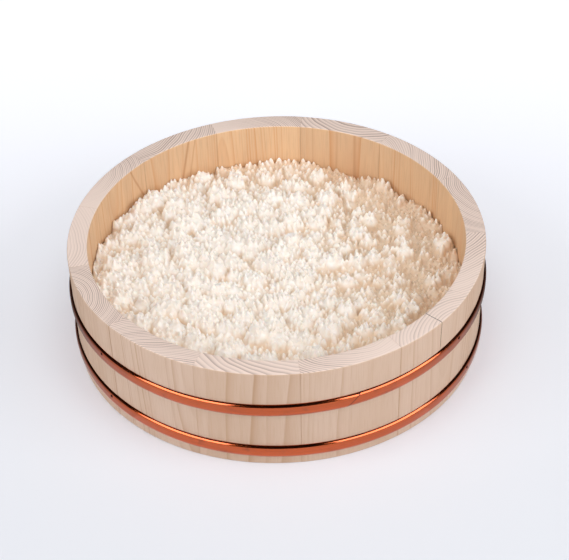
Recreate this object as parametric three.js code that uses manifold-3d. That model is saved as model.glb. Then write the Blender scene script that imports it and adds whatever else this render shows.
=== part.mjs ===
// A round wooden tub for dressing sushi rice, with the rice in it.
// Staves stand edge to edge round a floor of boards, and two copper hoops hold them together.
// Millimetres, +Z up, origin in the middle of the foot.
// Azimuth 0 is the front, on the -Y side, and azimuth grows towards +X.

import * as THREE from "three";
import { mergeVertices } from "three/addons/utils/BufferGeometryUtils.js";
import Module from "manifold-3d";

const wasm = await Module();
wasm.setup();

// Wall of the tub
const RIM_RADIUS = 165; // outside, at the rim
const WALL_LEAN = 2.5; // how far the foot draws in: a hoop driven up from below wedges tight
const TUB_HEIGHT = 92;
const WALL = 16; // thickness, measured level
const EDGE_CHAMFER = 1.2;
const STAVE_COUNT = 13;
const FIRST_JOINT_AZIMUTH = 5; // degrees
const FACETS_PER_STAVE = 8;
const FIT_GAP = 0.3; // clearance between pieces that touch

// Floor of the tub
const FLOOR_THICKNESS = 12;
const FLOOR_RISE = 10; // underside of the floor above the ground
const GROOVE_DEPTH = 5; // groove round the inside of the staves, which holds the floor's edge
const FLOOR_BOARD_COUNT = 4;

// Bamboo pins
const STAVE_PIN_RADIUS = 2;
const STAVE_PIN_LENGTH = 20;
const FLOOR_PIN_RADIUS = 2;
const FLOOR_PIN_LENGTH = 24;
const FLOOR_PIN_SPACING = 130; // between the two pins of one floor joint
const PIN_POINT = 0.6; // radius of a pin's blunt end over the pin's own radius
const PIN_SIDES = 6;

// Copper hoops and the nails through them
const HOOP_WIDTH = 11.5;
const HOOP_EDGE = 0.4; // thickness at the upper and lower edge
const HOOP_CROWN = 1.8; // how far the face stands out past the edges
const HOOP_FULLNESS = 4.5; // 2 is a plain arc, and more is a flatter face with rounder shoulders
const HOOP_ARC_STEPS = 8;
const UPPER_HOOP_HEIGHT = 56.3; // middle of the band at the front
const UPPER_HOOP_RISE = 2.7; // driven on askew: so much higher at the +X side than at the front
const LOWER_HOOP_HEIGHT = 13.4;
const LOWER_HOOP_RISE = -1.6;
const UPPER_SEAM_AZIMUTH = 18.8;
const LOWER_SEAM_AZIMUTH = 200;
const SEAM_SLANT = 45; // degrees from upright
const UPPER_NAIL_AZIMUTHS = [-54.7, 55.3, 178];
const LOWER_NAIL_AZIMUTHS = [-52.4, 62.4, 172];
const NAIL_ABOVE_MIDDLE = 2.2;
const NAIL_SHANK_RADIUS = 0.7;
const NAIL_HEAD_RADIUS = 1;
const NAIL_HEAD_DEPTH = 0.8;
const NAIL_HEAD_DOME = 0.2;
const NAIL_COVER = 3; // wood left between a nail's tip and the floor groove
const NAIL_SIDES = 10;

// Rice
const RICE_BELOW_RIM = 40; // level of the hollows between the clumps, at the front and back wall
const RICE_CROWN = 2; // rise of the middle over the edge
const RICE_TILT = -0.03; // slope towards +X: the rice lies higher at the left
const CLUMP_COUNT = 150;
const CLUMP_HEIGHT = 8.5; // highest clump over the hollows
const CLUMP_RADIUS = 15; // of each clump at the level of the hollows
const CLUMP_STRAY = 7; // how far a clump lies from its even place
const CLUMP_UNEVENNESS = 0.3; // share of a clump's height that comes and goes
const RICE_RINGS = 22;
const GOLDEN_ANGLE = Math.PI * (3 - Math.sqrt(5)); // turn from seed to seed in a sunflower head

const FULL_TURN_FACETS = STAVE_COUNT * FACETS_PER_STAVE;
const STAVE_ANGLE = 360 / STAVE_COUNT;
const GROOVE_BOTTOM = FLOOR_RISE - FIT_GAP;
const GROOVE_TOP = FLOOR_RISE + FLOOR_THICKNESS + FIT_GAP;
const GROOVE_RADIUS = innerRadius((GROOVE_BOTTOM + GROOVE_TOP) / 2) + GROOVE_DEPTH;
const FLOOR_RADIUS = GROOVE_RADIUS - FIT_GAP;
const FLOOR_BOARD_PITCH = (2 * FLOOR_RADIUS) / FLOOR_BOARD_COUNT;
const NAIL_DEPTH = WALL - GROOVE_DEPTH - NAIL_COVER;
const HOOP_CREST = FIT_GAP + HOOP_EDGE + HOOP_CROWN; // hoop's outermost line over the wall

const STAVE_WOOD = { color: 0xd6bca3, roughness: 0.65, metalness: 0 };
const FLOOR_WOOD = { color: 0xdcc09c, roughness: 0.65, metalness: 0 };
const BAMBOO = { color: 0xc9ad74, roughness: 0.55, metalness: 0 };
const COPPER = { color: 0xc46a3d, roughness: 0.2, metalness: 1 };
const NAIL_METAL = { color: 0x4a1d12, roughness: 0.45, metalness: 1 };
const RICE = { color: 0xf6e7d8, roughness: 0.5, metalness: 0 };

function radians(degrees) {
  return THREE.MathUtils.degToRad(degrees);
}

function numbered(index) {
  return String(index + 1).padStart(2, "0");
}

// Radius of the wall's outer and inner face at a height.
function outerRadius(height) {
  return RIM_RADIUS - WALL_LEAN * (1 - height / TUB_HEIGHT);
}

function innerRadius(height) {
  return outerRadius(height) - WALL;
}

// A closed geometry as a solid that can be cut, with its seams welded and collapsed triangles dropped.
function solidOf(geometry) {
  const bare = new THREE.BufferGeometry();
  bare.setAttribute("position", geometry.getAttribute("position"));
  bare.setIndex(geometry.getIndex());
  const welded = mergeVertices(bare);
  const corners = welded.getIndex().array;
  const triangles = [];
  for (let i = 0; i < corners.length; i += 3) {
    const [a, b, c] = corners.slice(i, i + 3);
    if (a !== b && b !== c && c !== a) {
      triangles.push(a, b, c);
    }
  }
  const vertProperties = welded.getAttribute("position").array;
  const triVerts = new Uint32Array(triangles);
  return new wasm.Manifold(new wasm.Mesh({ numProp: 3, vertProperties, triVerts }));
}

function geometryOf(solid) {
  const mesh = solid.getMesh();
  const geometry = new THREE.BufferGeometry();
  geometry.setAttribute("position", new THREE.BufferAttribute(mesh.vertProperties, 3));
  geometry.setIndex(new THREE.BufferAttribute(mesh.triVerts, 1));
  geometry.computeVertexNormals();
  return geometry;
}

function cut(solid, cutters) {
  return cutters.reduce((left, cutter) => left.subtract(cutter), solid);
}

// A profile of [radius, height] points turned about the tub's axis, its facets in step with the staves.
function turned(profile) {
  const points = profile.map(([radius, height]) => new THREE.Vector2(radius, height));
  const lathe = new THREE.LatheGeometry(points, FULL_TURN_FACETS, radians(FIRST_JOINT_AZIMUTH));
  return lathe.rotateX(Math.PI / 2);
}

// A place on or in the wall, with its own -Y axis pointing out of the tub.
function wallSeat(azimuth, radius, height) {
  const angle = radians(azimuth);
  const seat = new THREE.Object3D();
  seat.position.set(radius * Math.sin(angle), -radius * Math.cos(angle), height);
  seat.rotation.z = angle;
  seat.updateMatrix();
  return seat;
}

function cutterAt(geometry, seat) {
  return solidOf(geometry.applyMatrix4(seat.matrix));
}

function addPiece(group, name, finish, geometry, seat = new THREE.Object3D()) {
  const mesh = new THREE.Mesh(geometry, new THREE.MeshStandardMaterial(finish));
  mesh.name = name;
  mesh.position.copy(seat.position);
  mesh.rotation.copy(seat.rotation);
  group.add(mesh);
}

// A round pin along X with pointed ends, or its hole if a clearance is given.
function pinGeometry(pinRadius, pinLength, clearance = 0) {
  const radius = pinRadius + clearance;
  const half = pinLength / 2 + clearance;
  const profile = [
    new THREE.Vector2(0, -half),
    new THREE.Vector2(radius * PIN_POINT, -half),
    new THREE.Vector2(radius, radius - half),
    new THREE.Vector2(radius, half - radius),
    new THREE.Vector2(radius * PIN_POINT, half),
    new THREE.Vector2(0, half),
  ];
  return new THREE.LatheGeometry(profile, PIN_SIDES).rotateZ(-Math.PI / 2);
}

// Seats of the bamboo pins in the stave joints, clear of the hoops and their nails.
function stavePinSeats() {
  const upperHoopTop = UPPER_HOOP_HEIGHT + HOOP_WIDTH / 2;
  const upperHoopBottom = UPPER_HOOP_HEIGHT - HOOP_WIDTH / 2;
  const lowerHoopTop = LOWER_HOOP_HEIGHT + HOOP_WIDTH / 2;
  const heights = {
    upper: (upperHoopTop + TUB_HEIGHT) / 2,
    lower: (lowerHoopTop + upperHoopBottom) / 2,
  };
  const seats = [];
  for (const [level, height] of Object.entries(heights)) {
    const radius = outerRadius(height) - WALL / 2;
    for (let i = 0; i < STAVE_COUNT; i += 1) {
      const azimuth = FIRST_JOINT_AZIMUTH + i * STAVE_ANGLE;
      seats.push({ name: `stave_pin_${level}_${numbered(i)}`, seat: wallSeat(azimuth, radius, height) });
    }
  }
  return seats;
}

// A nail along -Y, its zero at the wall's outer face, or its hole if a clearance is given.
function nailGeometry(clearance = 0) {
  const shank = NAIL_SHANK_RADIUS + clearance;
  const head = NAIL_HEAD_RADIUS + clearance;
  const tip = -NAIL_DEPTH - clearance;
  const top = HOOP_CREST + clearance;
  const profile = [
    new THREE.Vector2(0, tip),
    new THREE.Vector2(shank, tip + 2 * NAIL_SHANK_RADIUS),
    new THREE.Vector2(shank, top - NAIL_HEAD_DEPTH),
    new THREE.Vector2(head, top - NAIL_HEAD_DEPTH / 2),
    new THREE.Vector2(head, top),
    new THREE.Vector2(0, top + NAIL_HEAD_DOME),
  ];
  return new THREE.LatheGeometry(profile, NAIL_SIDES).rotateX(Math.PI);
}

// A seat on the wall at the middle line of a hoop, or so far above it.
function hoopSeat(height, rise, azimuth, above = 0) {
  const level = height + rise * Math.sin(radians(azimuth)) + above;
  return wallSeat(azimuth, outerRadius(level), level);
}

function nailSeats(azimuths, height, rise) {
  return azimuths.map((azimuth) => hoopSeat(height, rise, azimuth, NAIL_ABOVE_MIDDLE));
}

// The whole wall before it is parted into staves, with the groove for the floor.
function wallRing() {
  const top = TUB_HEIGHT;
  const edge = EDGE_CHAMFER;
  return solidOf(
    turned([
      [innerRadius(0) + edge, 0],
      [outerRadius(0) - edge, 0],
      [outerRadius(edge), edge],
      [outerRadius(top - edge), top - edge],
      [outerRadius(top) - edge, top],
      [innerRadius(top) + edge, top],
      [innerRadius(top - edge), top - edge],
      [innerRadius(GROOVE_TOP), GROOVE_TOP],
      [GROOVE_RADIUS, GROOVE_TOP],
      [GROOVE_RADIUS, GROOVE_BOTTOM],
      [innerRadius(GROOVE_BOTTOM), GROOVE_BOTTOM],
      [innerRadius(edge), edge],
      [innerRadius(0) + edge, 0],
    ]),
  );
}

// The wedge of space that one stave fills, half a gap inside the joint on either side.
function staveWedge(index) {
  const half = radians(STAVE_ANGLE / 2);
  const apex = FIT_GAP / 2 / Math.sin(half);
  const reach = 2 * RIM_RADIUS;
  const outline = new THREE.Shape();
  outline.moveTo(0, -apex);
  outline.lineTo(-reach * Math.sin(half), -apex - reach * Math.cos(half));
  outline.lineTo(reach * Math.sin(half), -apex - reach * Math.cos(half));
  outline.closePath();
  const depth = 2 * TUB_HEIGHT;
  const wedge = new THREE.ExtrudeGeometry(outline, { depth, bevelEnabled: false });
  wedge.translate(0, 0, (TUB_HEIGHT - depth) / 2);
  wedge.rotateZ(radians(FIRST_JOINT_AZIMUTH + (index + 0.5) * STAVE_ANGLE));
  return solidOf(wedge);
}

function addStaves(group, pinSeats, allNailSeats) {
  const holes = [
    ...pinSeats.map(({ seat }) => cutterAt(pinGeometry(STAVE_PIN_RADIUS, STAVE_PIN_LENGTH, FIT_GAP), seat)),
    ...allNailSeats.map((seat) => cutterAt(nailGeometry(FIT_GAP), seat)),
  ];
  const drilledRing = cut(wallRing(), holes);
  for (let i = 0; i < STAVE_COUNT; i += 1) {
    const stave = drilledRing.intersect(staveWedge(i));
    addPiece(group, `stave_${numbered(i)}`, STAVE_WOOD, geometryOf(stave));
  }
}

function addStavePins(group, pinSeats) {
  for (const { name, seat } of pinSeats) {
    addPiece(group, name, BAMBOO, pinGeometry(STAVE_PIN_RADIUS, STAVE_PIN_LENGTH), seat);
  }
}

// Seats of the pins across the floor joints, turned to lie along Y.
function floorPinSeats() {
  const seats = [];
  for (let joint = 1; joint < FLOOR_BOARD_COUNT; joint += 1) {
    for (const side of [-1, 1]) {
      const seat = new THREE.Object3D();
      seat.position.x = (side * FLOOR_PIN_SPACING) / 2;
      seat.position.y = joint * FLOOR_BOARD_PITCH - FLOOR_RADIUS;
      seat.position.z = FLOOR_RISE + FLOOR_THICKNESS / 2;
      seat.rotation.z = Math.PI / 2;
      seat.updateMatrix();
      seats.push(seat);
    }
  }
  return seats;
}

// Boards that run along X, cut together to a round floor that sits in the groove.
function addFloor(group) {
  const seats = floorPinSeats();
  const holes = seats.map((seat) => cutterAt(pinGeometry(FLOOR_PIN_RADIUS, FLOOR_PIN_LENGTH, FIT_GAP), seat));
  const disc = turned([
    [0, FLOOR_RISE],
    [FLOOR_RADIUS, FLOOR_RISE],
    [FLOOR_RADIUS, FLOOR_RISE + FLOOR_THICKNESS],
    [0, FLOOR_RISE + FLOOR_THICKNESS],
  ]);
  const drilledDisc = cut(solidOf(disc), holes);
  for (let i = 0; i < FLOOR_BOARD_COUNT; i += 1) {
    const strip = new THREE.BoxGeometry(4 * FLOOR_RADIUS, FLOOR_BOARD_PITCH - FIT_GAP, 4 * FLOOR_THICKNESS);
    strip.translate(0, (i + 0.5) * FLOOR_BOARD_PITCH - FLOOR_RADIUS, FLOOR_RISE);
    const board = drilledDisc.intersect(solidOf(strip));
    addPiece(group, `floor_board_${i + 1}`, FLOOR_WOOD, geometryOf(board));
  }
  seats.forEach((seat, i) => {
    addPiece(group, `floor_pin_${i + 1}`, BAMBOO, pinGeometry(FLOOR_PIN_RADIUS, FLOOR_PIN_LENGTH), seat);
  });
}

// A band with a crowned face that lies against the tapered wall, parted by a slanted seam.
function addHoop(group, name, height, rise, seamAzimuth, seats) {
  const bottom = height - HOOP_WIDTH / 2;
  const top = height + HOOP_WIDTH / 2;
  const profile = [[outerRadius(bottom) + FIT_GAP, bottom]];
  for (let i = 0; i <= HOOP_ARC_STEPS; i += 1) {
    const across = (2 * i) / HOOP_ARC_STEPS - 1;
    const level = height + (across * HOOP_WIDTH) / 2;
    const bulge = HOOP_EDGE + HOOP_CROWN * (1 - Math.abs(across) ** HOOP_FULLNESS);
    profile.push([outerRadius(level) + FIT_GAP + bulge, level]);
  }
  profile.push([outerRadius(top) + FIT_GAP, top]);
  profile.push(profile[0]);
  const askew = new THREE.Matrix4().makeShear(0, rise / RIM_RADIUS, 0, 0, 0, 0);
  const band = solidOf(turned(profile).applyMatrix4(askew));
  const seam = new THREE.BoxGeometry(FIT_GAP, 4 * HOOP_CREST, 4 * HOOP_WIDTH);
  seam.rotateY(radians(SEAM_SLANT));
  const cutters = [
    cutterAt(seam, hoopSeat(height, rise, seamAzimuth)),
    ...seats.map((seat) => cutterAt(nailGeometry(FIT_GAP), seat)),
  ];
  addPiece(group, name, COPPER, geometryOf(cut(band, cutters)));
  seats.forEach((seat, i) => {
    addPiece(group, `${name}_nail_${i + 1}`, NAIL_METAL, nailGeometry(), seat);
  });
}

// Clumps of rice over a disc, spread like the seeds in a sunflower head and then moved aside a little.
function riceClumps(discRadius) {
  const clumps = [];
  for (let i = 0; i < CLUMP_COUNT; i += 1) {
    const reach = discRadius * Math.sqrt((i + 0.5) / CLUMP_COUNT);
    const turn = i * GOLDEN_ANGLE;
    const uneven = CLUMP_UNEVENNESS * (1 - Math.sin(i * i));
    clumps.push({
      x: reach * Math.cos(turn) + CLUMP_STRAY * Math.sin(2 * i * i),
      y: reach * Math.sin(turn) + CLUMP_STRAY * Math.sin(3 * i * i),
      height: CLUMP_HEIGHT * (1 - uneven),
    });
  }
  return clumps;
}

// Height of the rice over its hollows, where the highest of the domed clumps shows.
function riceRelief(clumps, x, y) {
  const heights = clumps.map((clump) => {
    const aside = Math.hypot(x - clump.x, y - clump.y) / CLUMP_RADIUS;
    return clump.height * (1 - aside * aside);
  });
  return Math.max(0, ...heights);
}

// The rice fills the tub from the floor, with clumps over its top.
function addRice(group) {
  const bottom = FLOOR_RISE + FLOOR_THICKNESS + FIT_GAP;
  const level = TUB_HEIGHT - RICE_BELOW_RIM;
  const flatOfWall = Math.cos(Math.PI / FULL_TURN_FACETS); // the wall's facets lie inside its circle
  const bottomRadius = innerRadius(bottom) * flatOfWall - FIT_GAP;
  const topRadius = innerRadius(level) * flatOfWall - FIT_GAP;
  const profile = [[0, bottom], [bottomRadius, bottom]];
  for (let i = RICE_RINGS; i >= 0; i -= 1) {
    profile.push([(topRadius * i) / RICE_RINGS, level]);
  }
  const bed = turned(profile);
  const points = bed.getAttribute("position");
  const clumps = riceClumps(topRadius);
  for (let i = 0; i < points.count; i += 1) {
    const [x, y, z] = [points.getX(i), points.getY(i), points.getZ(i)];
    const inward = 1 - (x * x + y * y) / (topRadius * topRadius);
    if (z > (bottom + level) / 2) {
      points.setZ(i, level + inward * RICE_CROWN + x * RICE_TILT + riceRelief(clumps, x, y));
    }
  }
  addPiece(group, "rice_bed", RICE, geometryOf(solidOf(bed)));
}

const tub = new THREE.Group();
const pinSeats = stavePinSeats();
const upperNails = nailSeats(UPPER_NAIL_AZIMUTHS, UPPER_HOOP_HEIGHT, UPPER_HOOP_RISE);
const lowerNails = nailSeats(LOWER_NAIL_AZIMUTHS, LOWER_HOOP_HEIGHT, LOWER_HOOP_RISE);
addStaves(tub, pinSeats, [...upperNails, ...lowerNails]);
addStavePins(tub, pinSeats);
addFloor(tub);
addHoop(tub, "upper_hoop", UPPER_HOOP_HEIGHT, UPPER_HOOP_RISE, UPPER_SEAM_AZIMUTH, upperNails);
addHoop(tub, "lower_hoop", LOWER_HOOP_HEIGHT, LOWER_HOOP_RISE, LOWER_SEAM_AZIMUTH, lowerNails);
addRice(tub);

export default tub;
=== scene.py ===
# A round wooden tub for dressing sushi rice, held by two copper hoops, with the cooked rice in it.
# Metres, +Z up, origin in the middle of the foot, front on the -Y side.
# Azimuth 0 is the front and azimuth grows towards +X, in degrees.

import math

import bmesh
import bpy
import numpy as np
from mathutils import Matrix, Vector


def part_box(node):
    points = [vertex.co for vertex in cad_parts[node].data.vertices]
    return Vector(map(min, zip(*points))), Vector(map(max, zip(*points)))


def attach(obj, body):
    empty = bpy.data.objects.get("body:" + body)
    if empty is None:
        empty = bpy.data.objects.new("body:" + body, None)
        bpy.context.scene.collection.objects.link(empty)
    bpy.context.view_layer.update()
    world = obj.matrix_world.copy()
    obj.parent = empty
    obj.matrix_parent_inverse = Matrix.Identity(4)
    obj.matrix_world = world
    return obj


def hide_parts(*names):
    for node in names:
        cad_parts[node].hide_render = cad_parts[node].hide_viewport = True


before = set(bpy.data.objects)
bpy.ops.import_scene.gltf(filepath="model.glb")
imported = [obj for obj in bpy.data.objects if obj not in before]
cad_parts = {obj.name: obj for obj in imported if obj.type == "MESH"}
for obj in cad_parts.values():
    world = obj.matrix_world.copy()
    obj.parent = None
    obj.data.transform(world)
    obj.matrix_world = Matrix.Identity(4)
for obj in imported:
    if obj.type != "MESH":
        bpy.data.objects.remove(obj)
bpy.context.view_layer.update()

# Wall staves: thirteen upright boards of pale softwood that stand edge to edge in a ring.
# Each was sawn from a different place in its log, so the growth rings curve differently on each top
# end. A groove near the foot holds the floor, and the rim and the foot are lightly rounded over.

MM = 0.001
TUB_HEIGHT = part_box("stave_01")[1].z
RIM_RADIUS = 165 * MM
WALL_LEAN = 2.5 * MM
WALL = 16 * MM
STAVE_COUNT = 13
STAVE_ANGLE = 360 / STAVE_COUNT
HALF_STAVE = math.radians(STAVE_ANGLE / 2)
FIRST_JOINT = 5
JOINT_GAP = 0.03 * MM
JOINT_EASE = 0.08 * MM
JOINT_EASE_FROM = math.radians(60)
STAVE_STEPS = 26
STAVE_SHIFT = 0.12 * MM
STAVE_SEED = 100
RIM_ROUND = 1.0 * MM
FOOT_ROUND = 0.5 * MM
ROUND_STEPS = 6
GROOVE_BOTTOM = 9.7 * MM
GROOVE_TOP = 22.3 * MM
GROOVE_DEPTH = 5 * MM


def outer_radius(height):
    """The wall's outer radius at a height, since it leans in towards the foot."""
    return RIM_RADIUS - WALL_LEAN * (1 - height / TUB_HEIGHT)


def inner_radius(height):
    """The wall's inner radius at a height."""
    return outer_radius(height) - WALL


STAVE_MIDDLE = inner_radius(TUB_HEIGHT) + WALL / 2


def corner_arc(edge, height, size, first):
    """Points of a quarter round of that size, inside an edge, from an angle in degrees."""
    angles = np.radians(np.linspace(first, first + 90, ROUND_STEPS + 1))
    centre = edge + size if 90 <= first < 270 else edge - size
    return [(centre + size * math.cos(angle), height + size * math.sin(angle)) for angle in angles]


def stave_profile():
    """The stave's upright section as points of radius and height, round its outline."""
    low = FOOT_ROUND
    high = TUB_HEIGHT - RIM_ROUND
    groove_radius = inner_radius((GROOVE_BOTTOM + GROOVE_TOP) / 2) + GROOVE_DEPTH
    return [
        *corner_arc(inner_radius(low), low, FOOT_ROUND, 180),
        *corner_arc(outer_radius(low), low, FOOT_ROUND, 270),
        *corner_arc(outer_radius(high), high, RIM_ROUND, 0),
        *corner_arc(inner_radius(high), high, RIM_ROUND, 90),
        (inner_radius(GROOVE_TOP), GROOVE_TOP),
        (groove_radius, GROOVE_TOP),
        (groove_radius, GROOVE_BOTTOM),
        (inner_radius(GROOVE_BOTTOM), GROOVE_BOTTOM),
    ]


def new_piece(name, points, faces, crease=35):
    """A mesh piece with faces turned outwards, smooth except at edges sharper than the crease."""
    mesh = bpy.data.meshes.new(name)
    mesh.from_pydata(points, [], faces)
    shell = bmesh.new()
    shell.from_mesh(mesh)
    bmesh.ops.recalc_face_normals(shell, faces=shell.faces)
    shell.to_mesh(mesh)
    shell.free()
    mesh.shade_smooth()
    mesh.set_sharp_from_angle(angle=math.radians(crease))
    piece = bpy.data.objects.new(name, mesh)
    bpy.context.scene.collection.objects.link(piece)
    return piece


def swept_faces(rows, around):
    """Faces of a closed outline swept through rows of points, with a cap on either end."""
    faces = []
    for row in range(rows - 1):
        for i in range(around):
            j = (i + 1) % around
            near = row * around
            far = near + around
            faces.append((near + i, near + j, far + j, far + i))
    faces.append(tuple(range(around)))
    faces.append(tuple((rows - 1) * around + i for i in range(around)))
    return faces


def wall_place(azimuth, radius, height=0.0):
    """A place round the tub whose own -Y axis points out of it."""
    angle = math.radians(azimuth)
    spot = Vector((radius * math.sin(angle), -radius * math.cos(angle), height))
    return Matrix.Translation(spot) @ Matrix.Rotation(angle, 4, "Z")


def paint(red, green, blue):
    """A colour on the 0 to 255 scale of a picture, as a shader takes it."""
    tones = [tone / 255 for tone in (red, green, blue)]
    linear = [t / 12.92 if t < 0.04 else ((t + 0.055) / 1.055) ** 2.4 for t in tones]
    return (*linear, 1.0)


def add_node(tree, kind, inputs=None, **settings):
    """A shader node with its settings made and its inputs linked or set."""
    node = tree.nodes.new("ShaderNode" + kind)
    for name, value in settings.items():
        setattr(node, name, value)
    for socket, value in (inputs or {}).items():
        if isinstance(value, bpy.types.NodeSocket):
            tree.links.new(value, node.inputs[socket])
        else:
            node.inputs[socket].default_value = value
    return node


def calc(tree, operation, *values):
    """A sum with plain values."""
    return add_node(tree, "Math", dict(enumerate(values)), operation=operation).outputs[0]


def vector_calc(tree, operation, *values):
    """A sum with places and ways; a length comes out as a plain value."""
    outputs = add_node(tree, "VectorMath", dict(enumerate(values)), operation=operation).outputs
    return outputs["Value" if operation == "LENGTH" else "Vector"]


def axes_of(tree, vector):
    """The X, Y and Z of a place or a way."""
    return add_node(tree, "SeparateXYZ", {0: vector}).outputs


def blend(tree, factor, low, high):
    """A colour between two others by a factor."""
    return add_node(tree, "Mix", {0: factor, 6: low, 7: high}, data_type="RGBA").outputs[2]


def ramp(tree, value, start, end, low=0.0, high=1.0):
    """A value eased from low to high as another goes from start to end."""
    inputs = {"Value": value, "From Min": start, "From Max": end, "To Min": low, "To Max": high}
    return add_node(tree, "MapRange", inputs, interpolation_type="SMOOTHSTEP").outputs[0]


def cloud(tree, place, lumps, detail=2.0):
    """Noise over a place in millimetres, with so many lumps to the millimetre each way."""
    spread = vector_calc(tree, "MULTIPLY", place, lumps)
    return add_node(tree, "TexNoise", {"Vector": spread, "Scale": 1.0, "Detail": detail}).outputs[0]


def millimetres(tree):
    """The place on a piece in its own frame, in millimetres, and the way that its surface faces."""
    spot = add_node(tree, "TexCoord").outputs
    return vector_calc(tree, "MULTIPLY", spot["Object"], (1 / MM, 1 / MM, 1 / MM)), spot["Normal"]


def new_finish(name):
    """A new material, with its node tree and its surface shader."""
    finish = bpy.data.materials.new(name)
    finish.use_nodes = True
    return finish, finish.node_tree, finish.node_tree.nodes["Principled BSDF"]


def link_surface(tree, surface, colour, roughness, relief, depth, strength=0.5):
    """Links a surface's colour and roughness, and a bump that follows a relief of that depth."""
    bump = add_node(tree, "Bump", {"Height": relief, "Distance": depth, "Strength": strength})
    tree.links.new(colour, surface.inputs["Base Color"])
    tree.links.new(roughness, surface.inputs["Roughness"])
    tree.links.new(bump.outputs[0], surface.inputs["Normal"])


def new_group(name, inputs, outputs):
    """A node group, with the sockets that bring its inputs in and take its values out."""
    group = bpy.data.node_groups.new(name, "ShaderNodeTree")
    for socket, kind in inputs.items():
        group.interface.new_socket(socket, in_out="INPUT", socket_type="NodeSocket" + kind)
    for socket in outputs:
        group.interface.new_socket(socket, in_out="OUTPUT", socket_type="NodeSocketFloat")
    given = group.nodes.new("NodeGroupInput").outputs
    made = group.nodes.new("NodeGroupOutput").inputs
    return group, given, made


# Growth rings: how far they wander in millimetres, how the late wood darkens towards the end of its
# year, and how faint a year may be. Lumps are to the millimetre, across the grain and along it.
RING_WANDER = 9.0
RING_WANDER_LUMPS = (0.03, 0.03, 0.005)
LATE_WOOD_POWER = 2.2
LATE_WOOD_DARKNESS = 1.3
YEAR_END = 0.9
FAINTEST_YEAR = 0.45
BOLD_YEAR_POWER = 2.5
FIBRE_LUMPS = (1.3, 1.3, 0.03)
BROAD_LUMPS = (0.06, 0.06, 0.008)
SEED_WAY = (1.0, 1.7, 2.3)


def growth_ring_group():
    """Growth rings about a pith that runs along the piece's Z axis, and the fibre of the wood."""
    inputs = {"Place": "Vector", "Pith": "Vector", "Spacing": "Float", "Seed": "Float"}
    group, given, made = new_group("growth_rings", inputs, ["Ring", "Line", "Fibre", "Broad"])
    offset = vector_calc(group, "MULTIPLY", SEED_WAY, given["Seed"])
    place = vector_calc(group, "ADD", given["Place"], offset)
    from_pith = vector_calc(group, "SUBTRACT", given["Place"], given["Pith"])
    distance = vector_calc(group, "LENGTH", vector_calc(group, "MULTIPLY", from_pith, (1, 1, 0)))
    wander = calc(group, "SUBTRACT", cloud(group, place, RING_WANDER_LUMPS, 1.0), 0.5)
    wavy = calc(group, "MULTIPLY_ADD", wander, RING_WANDER, distance)
    years = calc(group, "DIVIDE", wavy, given["Spacing"])
    growth = calc(group, "FRACT", years)
    late_wood = calc(group, "POWER", growth, LATE_WOOD_POWER)
    season_end = ramp(group, growth, YEAR_END, 1.0, LATE_WOOD_DARKNESS, 0.0)
    year_number = calc(group, "ADD", calc(group, "FLOOR", years), given["Seed"])
    year = add_node(group, "TexWhiteNoise", {"W": year_number}, noise_dimensions="1D")
    chance = year.outputs["Value"]
    harshness = calc(group, "MULTIPLY_ADD", chance, 1 - FAINTEST_YEAR, FAINTEST_YEAR)
    ring = calc(group, "MULTIPLY", calc(group, "MULTIPLY", late_wood, season_end), harshness)
    boldest = calc(group, "POWER", chance, BOLD_YEAR_POWER)
    group.links.new(ring, made["Ring"])
    group.links.new(calc(group, "MULTIPLY", ring, boldest), made["Line"])
    group.links.new(cloud(group, place, FIBRE_LUMPS, 3.0), made["Fibre"])
    group.links.new(cloud(group, place, BROAD_LUMPS), made["Broad"])
    return group


growth_rings = growth_ring_group()


def sawn_wood(tree, place, pith, spacing, seed):
    """The growth rings and the fibre of a board that was sawn at that place from the pith."""
    inputs = {"Place": place, "Pith": pith, "Spacing": spacing, "Seed": seed}
    return add_node(tree, "Group", inputs, node_tree=growth_rings).outputs


OUTSIDE_PALE = paint(219, 191, 170)
OUTSIDE_DARK = paint(184, 142, 108)
INSIDE_PALE = paint(238, 200, 158)
INSIDE_DARK = paint(222, 160, 106)
END_PALE = paint(243, 222, 210)
END_DARK = paint(132, 101, 90)
FIBRE_SHADE = paint(198, 162, 130)

# How strongly the rings, the boldest rings, the fibre, broad patches and a whole stave darken the
# long grain, and which way a surface faces where it turns into the inside or the sawn end.
RING_TINT = 0.14
BOLD_RING_TINT = 0.75
INSIDE_RING_TINT = 1.3
FIBRE_TINT = 0.35
PATCH_TINT = 0.25
STAVE_TINT = 0.25
FACES_INWARDS = (0.2, 0.7)
FACES_UP = (0.5, 0.95)
WOOD_ROUGHNESS = (0.5, 0.7)
WOOD_RELIEF = 0.12 * MM
RING_RELIEF = 0.5
STAVE_WOOD_SEED = 37.0

# Where the pith lies from the middle of the stave's top end, in millimetres along the ring and
# outwards, then the ring spacing, and how bold the rings are at the end's left and right.
SAWN_FROM = [
    (15, -45, 2.2, 1.0, 0.15),
    (6.7, 50, 2.6, 0.45, 0.5),
    (98, -118, 2.3, 0.3, 1.0),
    (25, 45, 1.7, 0.9, 1.0),
    (42, -48, 1.8, 0.9, 0.5),
    (-3.6, 35, 4.0, 0.8, 0.8),
    (27, -35, 1.6, 1.0, 0.1),
    (33, 62, 1.9, 0.9, 0.9),
    (6, 34, 1.4, 1.0, 0.1),
    (12, 70, 2.2, 0.15, 0.4),
    (-10.4, 25, 1.4, 1.0, 1.0),
    (62, 81, 1.9, 0.9, 0.9),
    (29.7, -58, 4.2, 0.65, 0.6),
]

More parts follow.
